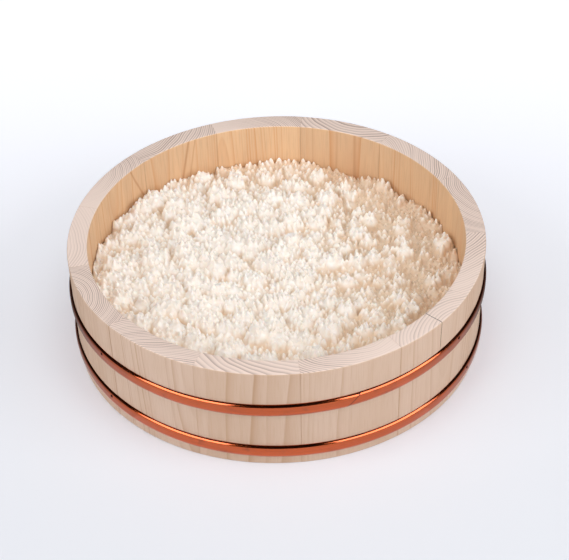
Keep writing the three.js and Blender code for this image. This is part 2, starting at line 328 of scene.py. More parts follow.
# Darker streaks that show inside the tub, by stave: the place along the ring at the rim, how far it
# slants aside for each millimetre down, its half width in millimetres, and its strength.
STREAKS = {
    5: [(25, 0.0, 1.0, 0.35), (3.7, 0.0, 1.6, 0.35), (-12.5, 0.0, 2.2, 0.6)],
    7: [(-10.4, 0.23, 2.0, 0.8), (-16.8, 0.19, 1.1, 0.5)],
    8: [(-19, -0.41, 1.6, 0.7)],
}
STREAK_BROWN = paint(200, 136, 86)
STREAK_WANDER = 5.0


def with_streaks(tree, inside, index, spot, broad):
    """The inside of that stave with its darker streaks."""
    for offset, slant, width, strength in STREAKS.get(index, []):
        down = calc(tree, "SUBTRACT", TUB_HEIGHT / MM, spot["Z"])
        aside = calc(tree, "SUBTRACT", calc(tree, "MULTIPLY_ADD", down, -slant, spot["X"]), offset)
        wander = calc(tree, "SUBTRACT", broad, 0.5)
        aside = calc(tree, "MULTIPLY_ADD", wander, STREAK_WANDER, aside)
        streak = ramp(tree, calc(tree, "ABSOLUTE", aside), 0.0, width, strength, 0.0)
        inside = blend(tree, streak, inside, STREAK_BROWN)
    return inside


# The darker line along a joint, in millimetres from it.
JOINT_BROWN = paint(168, 118, 78)
JOINT_LINE = (0.2, 0.7)
JOINT_TINT = 0.3


def with_joint_lines(tree, sides, spot):
    """The sides of a stave, a little darker along its two joints."""
    from_axis = calc(tree, "SUBTRACT", STAVE_MIDDLE / MM, spot["Y"])
    turn = calc(tree, "ABSOLUTE", calc(tree, "ARCTAN2", spot["X"], from_axis))
    from_joint = calc(tree, "MULTIPLY", calc(tree, "SUBTRACT", HALF_STAVE, turn), from_axis)
    return blend(tree, ramp(tree, from_joint, *JOINT_LINE, JOINT_TINT, 0.0), sides, JOINT_BROWN)


# The one stave with a drying check across its end and down its outside, in millimetres.
CHECKED_STAVE = 1
CHECK_BROWN = paint(64, 32, 20)
CHECK_OFFSET = 2.1
CHECK_HALF_WIDTH = (0.1, 0.4)
CHECK_FOOT = (62.0, 70.0)
CHECK_LUMPS = (0.0, 0.3, 0.15)
CHECK_FADES_INWARDS = (0.2, 0.6)


def with_check(tree, colour, place, spot, way):
    """The wood with its drying check, which stops short of the inside."""
    wobble = calc(tree, "SUBTRACT", cloud(tree, place, CHECK_LUMPS), 0.5)
    aside = calc(tree, "ADD", calc(tree, "SUBTRACT", spot["X"], CHECK_OFFSET), wobble)
    split = ramp(tree, calc(tree, "ABSOLUTE", aside), *CHECK_HALF_WIDTH, 1.0, 0.0)
    split = calc(tree, "MULTIPLY", split, ramp(tree, spot["Z"], *CHECK_FOOT))
    split = calc(tree, "MULTIPLY", split, ramp(tree, way["Y"], *CHECK_FADES_INWARDS, 1.0, 0.0))
    return blend(tree, split, colour, CHECK_BROWN)


def stave_wood(index, shade):
    """Softwood with this stave's own rings, greyer on the sawn end and warmer inside the tub."""
    along, outwards, spacing, left, right = SAWN_FROM[index]
    finish, tree, surface = new_finish(f"stave_wood_{index + 1:02d}")
    place, facing = millimetres(tree)
    spot = axes_of(tree, place)
    way = axes_of(tree, facing)
    pith = (along, -outwards, 0)
    wood = sawn_wood(tree, place, pith, spacing, index * STAVE_WOOD_SEED)
    half_width = RIM_RADIUS / MM * math.sin(HALF_STAVE)
    boldness = ramp(tree, spot["X"], -half_width, half_width, left, right)
    ring = calc(tree, "MULTIPLY", wood["Ring"], boldness)
    end = blend(tree, ring, END_PALE, END_DARK)
    bold_line = calc(tree, "MULTIPLY", wood["Line"], BOLD_RING_TINT)
    line = calc(tree, "MULTIPLY_ADD", wood["Ring"], RING_TINT, bold_line)
    outside = blend(tree, line, OUTSIDE_PALE, OUTSIDE_DARK)
    inside_line = calc(tree, "MULTIPLY", line, INSIDE_RING_TINT)
    inside = blend(tree, inside_line, INSIDE_PALE, INSIDE_DARK)
    inside = with_streaks(tree, inside, index, spot, wood["Broad"])
    sides = blend(tree, ramp(tree, way["Y"], *FACES_INWARDS), outside, inside)
    sides = with_joint_lines(tree, sides, spot)
    sides = blend(tree, ramp(tree, wood["Fibre"], 0.45, 0.75, 0.0, FIBRE_TINT), sides, FIBRE_SHADE)
    patches = ramp(tree, wood["Broad"], 0.3, 0.75, shade, shade + PATCH_TINT)
    sides = blend(tree, patches, sides, FIBRE_SHADE)
    colour = blend(tree, ramp(tree, way["Z"], *FACES_UP), sides, end)
    if index == CHECKED_STAVE:
        colour = with_check(tree, colour, place, spot, way)
    roughness = ramp(tree, wood["Fibre"], 0.2, 0.8, *WOOD_ROUGHNESS)
    relief = calc(tree, "MULTIPLY_ADD", ring, RING_RELIEF, wood["Fibre"])
    link_surface(tree, surface, colour, roughness, relief, WOOD_RELIEF)
    return finish


def add_stave(index):
    """A stave about its own middle, then set in its place in the ring."""
    random = np.random.default_rng(STAVE_SEED + index)
    profile = stave_profile()
    points = []
    for turn in np.linspace(-1, 1, STAVE_STEPS + 1):
        for radius, height in profile:
            angle = turn * (HALF_STAVE - JOINT_GAP / 2 / radius)
            out = STAVE_MIDDLE - radius * math.cos(angle)
            points.append((radius * math.sin(angle), out, height))
    name = f"stave_{index + 1:02d}"
    stave = new_piece(f"wall_{name}", points, swept_faces(STAVE_STEPS + 1, len(profile)))
    ease = stave.modifiers.new("eased_joint", "BEVEL")
    ease.width = JOINT_EASE
    ease.segments = 2
    ease.limit_method = "ANGLE"
    ease.angle_limit = JOINT_EASE_FROM
    azimuth = FIRST_JOINT + (index + 0.5) * STAVE_ANGLE
    shift = random.uniform(-STAVE_SHIFT, STAVE_SHIFT)
    stave.matrix_world = wall_place(azimuth, STAVE_MIDDLE + shift)
    stave.data.materials.append(stave_wood(index, random.uniform(0, STAVE_TINT)))
    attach(stave, "tub")
    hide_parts(name)


for stave_index in range(STAVE_COUNT):
    add_stave(stave_index)

# Pins: short bamboo dowels with blunt points, two in each joint of the wall and of the floor.
# They line the boards up while the tub is put together, and are shut in once the hoops are on.

BAMBOO_PALE = paint(214, 188, 132)
BAMBOO_FLECK = paint(150, 112, 62)
BAMBOO_CELLS = 1.8
BAMBOO_LUMPS = (0.25, 0.25, 0.25)
BAMBOO_MOTTLE = 0.4
BAMBOO_ROUGHNESS = (0.4, 0.6)
BAMBOO_RELIEF = 0.1 * MM


def bamboo():
    """Split bamboo with the dark flecks of its cut fibres."""
    finish, tree, surface = new_finish("split_bamboo")
    place, _ = millimetres(tree)
    pattern = add_node(tree, "TexVoronoi", {"Vector": place, "Scale": BAMBOO_CELLS})
    cells = pattern.outputs["Distance"]
    flecks = ramp(tree, cells, 0.12, 0.4, 0.7, 0.0)
    shade = cloud(tree, place, BAMBOO_LUMPS)
    mottled = calc(tree, "MULTIPLY_ADD", shade, BAMBOO_MOTTLE, flecks)
    colour = blend(tree, mottled, BAMBOO_PALE, BAMBOO_FLECK)
    roughness = ramp(tree, shade, 0.2, 0.8, *BAMBOO_ROUGHNESS)
    link_surface(tree, surface, colour, roughness, cells, BAMBOO_RELIEF)
    return finish


def finish_node(node, finish):
    """Gives a CAD node that is shown as it is a new material."""
    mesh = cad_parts[node].data
    mesh.materials.clear()
    mesh.materials.append(finish)


pin_bamboo = bamboo()
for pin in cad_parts:
    if "_pin_" in pin:
        finish_node(pin, pin_bamboo)

# Floor: four softwood boards, pinned edge to edge and cut to a disc that sits in the wall's groove.
# The boards run from side to side, so their rings show as long figures on the underside.

FLOOR_BOARDS = 4
FLOOR_PALE = paint(228, 200, 162)
FLOOR_DARK = paint(192, 148, 102)
FLOOR_RING_TINT = 0.7
FLOOR_FIBRE_TINT = 0.4
FLOOR_PITH_SPACING = 71.0
FLOOR_PITH_HEIGHTS = (-34.0, 60.0)
FLOOR_RING_SPACING = 3.4
FLOOR_SEED = 500
FLOOR_SEED_STEP = 41.0


def floor_wood(index):
    """Flat-sawn softwood with its pith along X, below one board and above the next."""
    finish, tree, surface = new_finish(f"floor_wood_{index + 1}")
    place, _ = millimetres(tree)
    spot = axes_of(tree, place)
    turned = {0: spot["Y"], 1: spot["Z"], 2: spot["X"]}
    lengthways = add_node(tree, "CombineXYZ", turned).outputs[0]
    across = (index - (FLOOR_BOARDS - 1) / 2) * FLOOR_PITH_SPACING
    pith = (across, FLOOR_PITH_HEIGHTS[index % 2], 0)
    seed = FLOOR_SEED + index * FLOOR_SEED_STEP
    wood = sawn_wood(tree, lengthways, pith, FLOOR_RING_SPACING, seed)
    rings = calc(tree, "MULTIPLY", wood["Ring"], FLOOR_RING_TINT)
    colour = blend(tree, rings, FLOOR_PALE, FLOOR_DARK)
    fibre = ramp(tree, wood["Fibre"], 0.45, 0.8, 0.0, FLOOR_FIBRE_TINT)
    colour = blend(tree, fibre, colour, FLOOR_DARK)
    roughness = ramp(tree, wood["Broad"], 0.2, 0.8, *WOOD_ROUGHNESS)
    link_surface(tree, surface, colour, roughness, wood["Fibre"], WOOD_RELIEF)
    return finish


for board_index in range(FLOOR_BOARDS):
    finish_node(f"floor_board_{board_index + 1}", floor_wood(board_index))

# Hoops: two crowned copper bands, driven up the tapered wall until they pull the joints tight.
# Each is bent round from a drawn strip and closed with a slanted seam; one end stands off a little.
# Both sit slightly askew, and a clear lacquer keeps them bright.

HOOP_WIDTH = 11.5 * MM
HOOP_FIT = 0.1 * MM
HOOP_EDGE = 0.15 * MM
HOOP_CROWN = 2.05 * MM
HOOP_FULLNESS = 4.5
HOOP_FACE_STEPS = 36
HOOP_TURN_STEPS = 420
UPPER_HOOP_HEIGHT = 56.3 * MM
UPPER_HOOP_RISE = 2.7 * MM
LOWER_HOOP_HEIGHT = 13.4 * MM
LOWER_HOOP_RISE = -1.6 * MM
UPPER_SEAM = 18.8
LOWER_SEAM = -160
SEAM_GAP = 0.12 * MM
LAP_LIFT = 0.35 * MM
LAP_ANGLE = 8.0
COPPER_BRIGHT = (0.64, 0.122, 0.031, 1.0)
COPPER_WARM = (0.5, 0.092, 0.022, 1.0)
COPPER_DULL = (0.24, 0.06, 0.025, 1.0)
COPPER_SEAM = (0.05, 0.015, 0.008, 1.0)
DRAWN_LUMPS = (0.02, 0.02, 3.0)
DRAWN_ROUGHNESS = 0.08
DRAWN_RELIEF = 0.02 * MM
TARNISH_LUMPS = (0.09, 0.09, 0.12)
TARNISH_TINT = 0.55
TARNISH_ROUGHNESS = (0.07, 0.17)
SEAM_LINE = (0.3, 1.1)
SEAM_TINT = 0.9
LACQUERED = {"Metallic": 1.0, "Coat Weight": 0.55, "Coat Roughness": 0.05}


def hoop_profile(height):
    """The band's section as points of radius and height, round its outline."""
    half = HOOP_WIDTH / 2
    points = []
    for across in np.linspace(-1, 1, HOOP_FACE_STEPS + 1):
        level = height + across * half
        bulge = HOOP_EDGE + HOOP_CROWN * (1 - abs(across) ** HOOP_FULLNESS)
        points.append((outer_radius(level) + HOOP_FIT + bulge, level))
    for level in (height + half, height - half):
        points.append((outer_radius(level) + HOOP_FIT, level))
    return points


def hoop_level(height, rise, azimuth):
    """The height of a hoop's middle at an azimuth, since it sits askew."""
    return height + rise * math.sin(math.radians(azimuth))


def azimuth_of(tree, spot):
    """The azimuth of a place round the tub, in radians."""
    return calc(tree, "ARCTAN2", spot["X"], calc(tree, "MULTIPLY", spot["Y"], -1.0))


def set_surface(surface, values):
    """Sets what is the same all over a surface."""
    for socket, value in values.items():
        surface.inputs[socket].default_value = value


def copper(name, seam, seam_height):
    """Lacquered copper with the lines of a drawn strip, tarnished in patches and at the seam."""
    finish, tree, surface = new_finish(f"{name}_copper")
    place, _ = millimetres(tree)
    spot = axes_of(tree, place)
    past_seam = calc(tree, "SUBTRACT", azimuth_of(tree, spot), math.radians(seam))
    round_wall = calc(tree, "MULTIPLY", past_seam, RIM_RADIUS / MM)
    above = calc(tree, "SUBTRACT", spot["Z"], seam_height / MM)
    from_seam = calc(tree, "ABSOLUTE", calc(tree, "SUBTRACT", round_wall, above))
    drawn = cloud(tree, place, DRAWN_LUMPS, 3.0)
    tarnish = cloud(tree, place, TARNISH_LUMPS, 3.0)
    colour = blend(tree, ramp(tree, drawn, 0.3, 0.7), COPPER_BRIGHT, COPPER_WARM)
    colour = blend(tree, ramp(tree, tarnish, 0.55, 0.8, 0.0, TARNISH_TINT), colour, COPPER_DULL)
    colour = blend(tree, ramp(tree, from_seam, *SEAM_LINE, SEAM_TINT, 0.0), colour, COPPER_SEAM)
    worn = ramp(tree, tarnish, 0.4, 0.8, *TARNISH_ROUGHNESS)
    roughness = calc(tree, "MULTIPLY_ADD", drawn, DRAWN_ROUGHNESS, worn)
    link_surface(tree, surface, colour, roughness, drawn, DRAWN_RELIEF, 0.25)
    set_surface(surface, LACQUERED)
    return finish


def add_hoop(name, height, rise, seam):
    """A band swept once round the wall from one side of its seam to the other."""
    profile = hoop_profile(height)
    points = []
    for part in np.linspace(0, 1, HOOP_TURN_STEPS + 1):
        for radius, level in profile:
            opening = SEAM_GAP / radius
            start = math.radians(seam) + (level - height) / radius + opening / 2
            angle = start + part * (2 * math.pi - opening)
            to_end = math.degrees((1 - part) * 2 * math.pi)
            lift = LAP_LIFT * max(0.0, 1 - to_end / LAP_ANGLE) ** 2
            reach = radius + lift
            askew = rise * reach * math.sin(angle) / RIM_RADIUS
            points.append((reach * math.sin(angle), -reach * math.cos(angle), level + askew))
    faces = swept_faces(HOOP_TURN_STEPS + 1, len(profile))
    hoop = new_piece(f"{name}_band", points, faces, crease=50)
    hoop.data.materials.append(copper(name, seam, hoop_level(height, rise, seam)))
    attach(hoop, "tub")
    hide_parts(name)


add_hoop("upper_hoop", UPPER_HOOP_HEIGHT, UPPER_HOOP_RISE, UPPER_SEAM)
add_hoop("lower_hoop", LOWER_HOOP_HEIGHT, LOWER_HOOP_RISE, LOWER_SEAM)

# Hoop nails: small copper pins with domed heads, three through each band into the wood behind it.
# Hammering and handling have turned their heads dark brown.

UPPER_NAILS = [-54.7, 55.3, 178]
LOWER_NAILS = [-52.4, 62.4, 172]
NAIL_ABOVE_MIDDLE = 2.2 * MM
NAIL_DEPTH = 7 * MM
NAIL_SHANK = 0.7 * MM
NAIL_TIP = 0.2 * NAIL_SHANK
NAIL_POINT = 2 * NAIL_SHANK
NAIL_NECK = 0.5 * MM
NAIL_HEAD = 1.25 * MM
NAIL_HEAD_SEAT = 0.1 * MM
NAIL_HEAD_EDGE = 0.05 * MM
NAIL_DOME = 0.35 * MM
NAIL_SHOULDER = (0.8, 0.7)
NAIL_TOP = 0.35
NAIL_DENT = 0.04
NAIL_DENTS = 3
NAIL_STEPS = 20
NAIL_BROWN = paint(52, 24, 18)
NAIL_WORN = paint(92, 44, 30)
NAIL_LUMPS = (1.6, 1.6, 1.6)
NAIL_ROUGHNESS = (0.35, 0.6)
NAIL_RELIEF = 0.15 * MM


def nail_metal():
    """Copper gone dark brown, and a little brighter where it has been handled."""
    finish, tree, surface = new_finish("nail_copper")
    place, _ = millimetres(tree)
    handled = cloud(tree, place, NAIL_LUMPS, 4.0)
    colour = blend(tree, ramp(tree, handled, 0.4, 0.7), NAIL_BROWN, NAIL_WORN)
    roughness = ramp(tree, handled, 0.3, 0.7, *NAIL_ROUGHNESS)
    link_surface(tree, surface, colour, roughness, handled, NAIL_RELIEF)
    set_surface(surface, {"Metallic": 1.0})
    return finish


dark_nail = nail_metal()


def add_nail(node, azimuth, height):
    """A nail along its own -Y axis, turned from a section of radius and reach out of the wall."""
    crest = HOOP_FIT + HOOP_EDGE + HOOP_CROWN
    section = [
        (NAIL_TIP, -NAIL_DEPTH),
        (NAIL_SHANK, -NAIL_DEPTH + NAIL_POINT),
        (NAIL_SHANK, crest - NAIL_NECK),
        (NAIL_HEAD, crest - NAIL_HEAD_SEAT),
        (NAIL_HEAD, crest + NAIL_HEAD_EDGE),
        (NAIL_HEAD * NAIL_SHOULDER[0], crest + NAIL_DOME * NAIL_SHOULDER[1]),
        (NAIL_HEAD * NAIL_TOP, crest + NAIL_DOME),
    ]
    points = []
    for radius, reach in section:
        for turn in np.linspace(0, 2 * math.pi, NAIL_STEPS, endpoint=False):
            dented = radius * (1 + NAIL_DENT * math.sin(NAIL_DENTS * turn + azimuth))
            points.append((dented * math.cos(turn), -reach, dented * math.sin(turn)))
    nail = new_piece(f"{node}_head", points, swept_faces(len(section), NAIL_STEPS), crease=60)
    nail.matrix_world = wall_place(azimuth, outer_radius(height), height)
    nail.data.materials.append(dark_nail)
    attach(nail, "tub")
    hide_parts(node)


for hoop_name, nails, hoop_height, hoop_rise in (
    ("upper_hoop", UPPER_NAILS, UPPER_HOOP_HEIGHT, UPPER_HOOP_RISE),
    ("lower_hoop", LOWER_NAILS, LOWER_HOOP_HEIGHT, LOWER_HOOP_RISE),
):
    for nail_index, nail_azimuth in enumerate(nails):
        nail_height = hoop_level(hoop_height, hoop_rise, nail_azimuth) + NAIL_ABOVE_MIDDLE
        add_nail(f"{hoop_name}_nail_{nail_index + 1}", nail_azimuth, nail_height)

# Rice: cooked short grain, turned and fluffed with a paddle so that it lies in loose sticky clumps.
# It is one mass. Grains stand up out of the clumps side by side and stick where they touch, and
# those at the side of the tub are pressed flat against the wall.

RICE_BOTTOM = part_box("rice_bed")[0].z
RICE_FOOT_GAP = 0.1 * MM
RICE_LEVEL = TUB_HEIGHT - 40 * MM
RICE_CROWN = 2 * MM
RICE_TILT = -0.03
WALL_CLEAR = 0.35 * MM
RICE_SEED = 7
FIELD_STEP = 0.4 * MM
TOP_CELLS = 430
SIDE_ROWS = 24
SPOT_STRAY = 0.4

rice_random = np.random.default_rng(RICE_SEED)
rice_radius = inner_radius(RICE_LEVEL) - WALL_CLEAR
field_size = 2 * int(rice_radius / FIELD_STEP) + 5
field_axis = (np.arange(field_size) - field_size // 2) * FIELD_STEP

# Clumps, with the same sizes and places as those of the CAD solid.
CLUMP_COUNT = 150
CLUMP_HEIGHT = 8.5 * MM
CLUMP_RADIUS = 15 * MM
CLUMP_STRAY = 7 * MM
CLUMP_UNEVENNESS = 0.3
GOLDEN_ANGLE = math.pi * (3 - math.sqrt(5))


def clump_field():
    """Level of the clumps, spread like the seeds in a sunflower head and moved aside a little."""
    x, y = np.meshgrid(field_axis, field_axis)
    inward = np.clip(1 - (x * x + y * y) / rice_radius**2, 0, 1)
    relief = np.zeros_like(x)
    for i in range(CLUMP_COUNT):
        reach = rice_radius * math.sqrt((i + 0.5) / CLUMP_COUNT)
        turn = i * GOLDEN_ANGLE
        aside_x = x - reach * math.cos(turn) - CLUMP_STRAY * math.sin(2 * i * i)
        aside_y = y - reach * math.sin(turn) - CLUMP_STRAY * math.sin(3 * i * i)
        height = CLUMP_HEIGHT * (1 - CLUMP_UNEVENNESS * (1 - math.sin(i * i)))
        relief = np.maximum(relief, height * (1 - (aside_x**2 + aside_y**2) / CLUMP_RADIUS**2))
    return RICE_LEVEL + RICE_CROWN * inward + RICE_TILT * x + relief


def spread_spots(pitch):
    """Spots over the rice, on a jittered grid of that pitch."""
    axis = np.arange(int(2 * rice_radius / pitch) + 2) * pitch - rice_radius
    x, y = np.meshgrid(axis, axis)
    x[1::2] += pitch / 2
    spots = np.stack([x.ravel(), y.ravel()], axis=1)
    spots = spots + rice_random.uniform(-SPOT_STRAY, SPOT_STRAY, spots.shape) * pitch
    return spots[np.hypot(spots[:, 0], spots[:, 1]) < rice_radius]


def window_round(x, y, reach):
    """The part of the grid within reach of a spot, its middle, and how far aside its points lie."""
    column, row = (int(round((place - field_axis[0]) / FIELD_STEP)) for place in (x, y))
    cells = int(reach / FIELD_STEP) + 1
    part = tuple(slice(max(middle - cells, 0), middle + cells + 1) for middle in (row, column))
    aside_x, aside_y = np.meshgrid(field_axis[part[1]] - x, field_axis[part[0]] - y)
    return part, (row, column), aside_x, aside_y


LUMP_PITCH = 13 * MM
LUMP_RADIUS = (7.0 * MM, 9.5 * MM)
LUMP_RISE = (0.0 * MM, 8.0 * MM)
LUMP_SINK = 2.6 * MM
LUMP_MELT = 0.25 * MM


def with_lumps(clumps):
    """The clumps with round lumps on them, as a soft maximum."""
    clumps = clumps - LUMP_SINK
    total = np.ones_like(clumps)
    for x, y in spread_spots(LUMP_PITCH):
        radius = rice_random.uniform(*LUMP_RADIUS)
        rise = rice_random.uniform(*LUMP_RISE)
        part, middle, aside_x, aside_y = window_round(x, y, radius)
        gap = np.maximum(1 - (aside_x**2 + aside_y**2) / radius**2, 0)
        lump = clumps[middle] + rise - radius * (1 - np.sqrt(gap)) - clumps[part]
        total[part] += np.where(gap > 0, np.exp(lump / LUMP_MELT), 0)
    return clumps + LUMP_MELT * np.log(total)


GRAIN_PITCH = 4.4 * MM
GRAIN_HALF_WIDTH = (1.8 * MM, 2.3 * MM)
GRAIN_HALF_BREADTH = (2.5 * MM, 3.4 * MM)
GRAIN_DROP = 6.2 * MM
GRAIN_POINT = 0.85
GRAIN_RISE = 3.6 * MM
GRAIN_UNEVENNESS = 1.0 * MM
GRAIN_LEAN = 0.35
GRAIN_MELT = 0.35 * MM


def with_grains(lumps):
    """The lumps with grains that stand on them, as a soft maximum."""
    slope_y, slope_x = np.gradient(lumps, FIELD_STEP)
    total = np.ones_like(lumps)
    for x, y in spread_spots(GRAIN_PITCH):
        turn, lean_x, lean_y = rice_random.uniform(-1, 1, 3) * (math.pi, GRAIN_LEAN, GRAIN_LEAN)
        width = rice_random.uniform(*GRAIN_HALF_WIDTH)
        breadth = rice_random.uniform(*GRAIN_HALF_BREADTH)
        rise = GRAIN_RISE + rice_random.normal(0, GRAIN_UNEVENNESS)
        part, middle, aside_x, aside_y = window_round(x, y, 2 * breadth)
        along = (aside_x * math.cos(turn) + aside_y * math.sin(turn)) / breadth
        across = (aside_y * math.cos(turn) - aside_x * math.sin(turn)) / width
        lean_x -= GRAIN_LEAN * np.clip(slope_x[middle], -1, 1)
        lean_y -= GRAIN_LEAN * np.clip(slope_y[middle], -1, 1)
        grain = lumps[middle] + rise - GRAIN_DROP * (along**2 + across**2) ** GRAIN_POINT
        grain = grain + lean_x * aside_x + lean_y * aside_y
        total[part] += np.exp((grain - lumps[part]) / GRAIN_MELT)
    return lumps + GRAIN_MELT * np.log(total)


def blurred(values, reach):
    """Values of the grid, each averaged with those around it."""
    waves = np.fft.fftfreq(field_size, FIELD_STEP)
    fade = np.exp(-2 * (math.pi * reach * waves) ** 2)
    return np.fft.ifft2(np.fft.fft2(values) * fade[:, None] * fade[None, :]).real


def sampled(values, spots):
    """Values of the grid at spots between its points."""
    place = np.clip((spots - field_axis[0]) / FIELD_STEP, 0, field_size - 1.001)
    cell = place.astype(int)
    column, row = cell.T
    across, up = (place - cell).T
    low = values[row, column] * (1 - across) + values[row, column + 1] * across
    high = values[row + 1, column] * (1 - across) + values[row + 1, column + 1] * across
    return low * (1 - up) + high * up


def disc_grid(cells):
    """Spots of a square grid pressed out evenly into a unit disc."""
    axis = np.linspace(-1, 1, cells + 1)
    across, up = (side.ravel() for side in np.meshgrid(axis, axis))
    wide = np.abs(across) > np.abs(up)
    reach = np.where(wide, across, up)
    ratio = np.where(wide, up, across) / np.where(reach == 0, 1, reach)
    angle = np.where(wide, math.pi / 4 * ratio, math.pi / 2 - math.pi / 4 * ratio)
    return np.stack([reach * np.cos(angle), reach * np.sin(angle)], axis=1)


def grid_edge(cells):
    """Numbers of the grid's outer points, in order round it."""
    side = cells + 1
    front = list(range(cells))
    right = [i * side + cells for i in range(cells)]
    back = [cells * side + i for i in range(cells, 0, -1)]
    left = [i * side for i in range(cells, 0, -1)]
    return front + right + back + left


def rice_faces(edge):
    """Faces of the grid on top, then of the rows of points down the side, then the foot."""
    side = TOP_CELLS + 1
    corner = (np.arange(TOP_CELLS)[:, None] * side + np.arange(TOP_CELLS)).ravel()
    faces = np.stack([corner, corner + 1, corner + side + 1, corner + side], axis=1).tolist()
    around = len(edge)
    above = edge
    for row in range(SIDE_ROWS):
        below = [side * side + row * around + i for i in range(around)]
        faces += [(above[i - 1], below[i - 1], below[i], above[i]) for i in range(around)]
        above = below
    return [*faces, tuple(above)]


PRESSED_PITCH = 3.4 * MM
PRESSED_HALF_LENGTH = 3.2 * MM
PRESSED_HALF_WIDTH = 1.6 * MM
PRESSED_DEPTH = 1.0 * MM


def pressed_in(arc, height):
    """How far the rice's side stands back from the wall between the grains pressed on it."""
    back = np.full_like(height, PRESSED_DEPTH)
    rim = 2 * math.pi * rice_radius
    stray = (math.pi, PRESSED_PITCH / 2, PRESSED_PITCH / 2)
    for level in np.arange(height.min(), height.max(), PRESSED_PITCH):
        for start in np.arange(0, rim, PRESSED_PITCH):
            turn, aside, above = rice_random.uniform(-1, 1, 3) * stray
            round_wall = (arc - start - aside + rim / 2) % rim - rim / 2
            near = np.abs(round_wall) < PRESSED_HALF_LENGTH
            up = height[:, near] - level - above
            along = round_wall[near] * math.cos(turn) + up * math.sin(turn)
            across = up * math.cos(turn) - round_wall[near] * math.sin(turn)
            out = (along / PRESSED_HALF_LENGTH) ** 2 + (across / PRESSED_HALF_WIDTH) ** 2
            back[:, near] = np.minimum(back[:, near], PRESSED_DEPTH * out)
    return back


# Painted shade on the rice, warmer and darker: down in the hollows and where it lies low as a whole,
# by the wall, and towards the right and the back, each told as depth below the grains around. Each
# of these runs has its axis, where along it the painted shade starts and where it is deepest, and by
# how much.
HOLLOW_REACH = 5.0 * MM
LOW_SHADE_SHARE = 0.22
LOW_SHADE_LEVEL = RICE_LEVEL + 6 * MM
WALL_SHADE = 2.4 * MM
WALL_SHADE_POWER = 4
SHADE_RUNS = [(0, 15 * MM, 75 * MM, 2.6 * MM), (1, 100 * MM, 135 * MM, 2.0 * MM)]


def shade_depth(field, spots):
    """How deep the painted shade lies on the top of the rice at spots."""
    around_here = blurred(field, HOLLOW_REACH)
    hollows = around_here + LOW_SHADE_SHARE * (LOW_SHADE_LEVEL - around_here) - field
    outwards = np.linalg.norm(spots, axis=1) / rice_radius
    depth = sampled(hollows, spots) + WALL_SHADE * outwards**WALL_SHADE_POWER
    for axis, start, warmest, tint in SHADE_RUNS:
        depth += tint * np.clip((spots[:, axis] - start) / (warmest - start), 0, 1)
    return depth


RICE_WHITE = paint(254, 249, 243)
RICE_CREAM = paint(250, 239, 228)
# Painted shade: a pale one between the grains, and a warmer one in the hollows, by the wall and
# towards the right and back.
RICE_SHADE = paint(246, 236, 226)
RICE_WARM_SHADE = paint(232, 209, 184)
CHALK_LUMPS = (0.35, 0.35, 0.35)
CREVICE_DEPTHS = (-0.6, 1.2)
WARM_SHADE_DEPTHS = (0.0, 5.0)
RICE_ROUGHNESS = (0.35, 0.55)
RICE_RELIEF = 0.1 * MM
RICE_GLOW = {
    "Subsurface Weight": 0.25,
    "Subsurface Radius": (1.0, 0.8, 0.6),
    "Subsurface Scale": 0.7 * MM,
}


def cooked_rice():
    """Moist grains, a little whiter or creamier from place to place, with painted shade between
    them.
    """
    finish, tree, surface = new_finish("cooked_rice")
    place, _ = millimetres(tree)
    chalk = cloud(tree, place, CHALK_LUMPS)
    warm_shade = add_node(tree, "Attribute", attribute_name="warm_shade").outputs["Fac"]
    crevice_shade = add_node(tree, "Attribute", attribute_name="crevice_shade").outputs["Fac"]
    colour = blend(tree, ramp(tree, chalk, 0.3, 0.7), RICE_WHITE, RICE_CREAM)
    colour = blend(tree, ramp(tree, crevice_shade, *CREVICE_DEPTHS), colour, RICE_SHADE)
    colour = blend(tree, ramp(tree, warm_shade, *WARM_SHADE_DEPTHS), colour, RICE_WARM_SHADE)
    roughness = ramp(tree, chalk, 0.3, 0.7, *RICE_ROUGHNESS)
    link_surface(tree, surface, colour, roughness, chalk, RICE_RELIEF, 0.3)
    set_surface(surface, RICE_GLOW)
    return finish


CREVICE_REACH = 1.8 * MM
# Painted shade on the side of the rice against the wall, which blends into that of the top a few
# millimetres down.
SIDE_SHADE = 1.0 * MM
SIDE_SHADE_FADE = 7 * MM


def keep_depths(rice, name, top, side):
    """Keeps a depth of painted shade in millimetres at each point of the rice, for its finish to
    read.
    """
    depths = np.concatenate([top, side.ravel()]) / MM
    rice.data.attributes.new(name, "FLOAT", "POINT").data.foreach_set("value", depths)


def add_rice():
    """The mass of rice, closed by its side and its foot."""
    field = with_grains(with_lumps(clump_field()))
    spots = disc_grid(TOP_CELLS) * rice_radius
    top = np.column_stack([spots, sampled(field, spots)])
    edge = grid_edge(TOP_CELLS)
    turns = np.arctan2(top[edge, 1], top[edge, 0])
    down = np.arange(1, SIDE_ROWS + 1)[:, None] / SIDE_ROWS
    heights = top[edge, 2] * (1 - down) + (RICE_BOTTOM + RICE_FOOT_GAP) * down
    pressed = pressed_in(turns * rice_radius, heights)
    reaches = inner_radius(heights) - WALL_CLEAR - pressed
    wall = np.stack([reaches * np.cos(turns), reaches * np.sin(turns), heights], axis=2)
    points = np.concatenate([top, wall.reshape(-1, 3)]).tolist()
    rice = new_piece("rice_mass", points, rice_faces(edge), crease=180)
    # Painted shade, warmer in the hollows, low down, by the wall and towards the right and back.
    top_shade = shade_depth(field, spots)
    fade = np.exp((heights - top[edge, 2]) / SIDE_SHADE_FADE)
    keep_depths(rice, "warm_shade", top_shade, SIDE_SHADE + (top_shade[edge] - SIDE_SHADE) * fade)
    # Painted shade in the crevices between the grains on top and between those pressed on the side.
    crevices = sampled(blurred(field, CREVICE_REACH) - field, spots)
    keep_depths(rice, "crevice_shade", crevices, pressed - PRESSED_DEPTH / 2)
    rice.data.materials.append(cooked_rice())
    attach(rice, "rice")
    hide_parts("rice_bed")


add_rice()
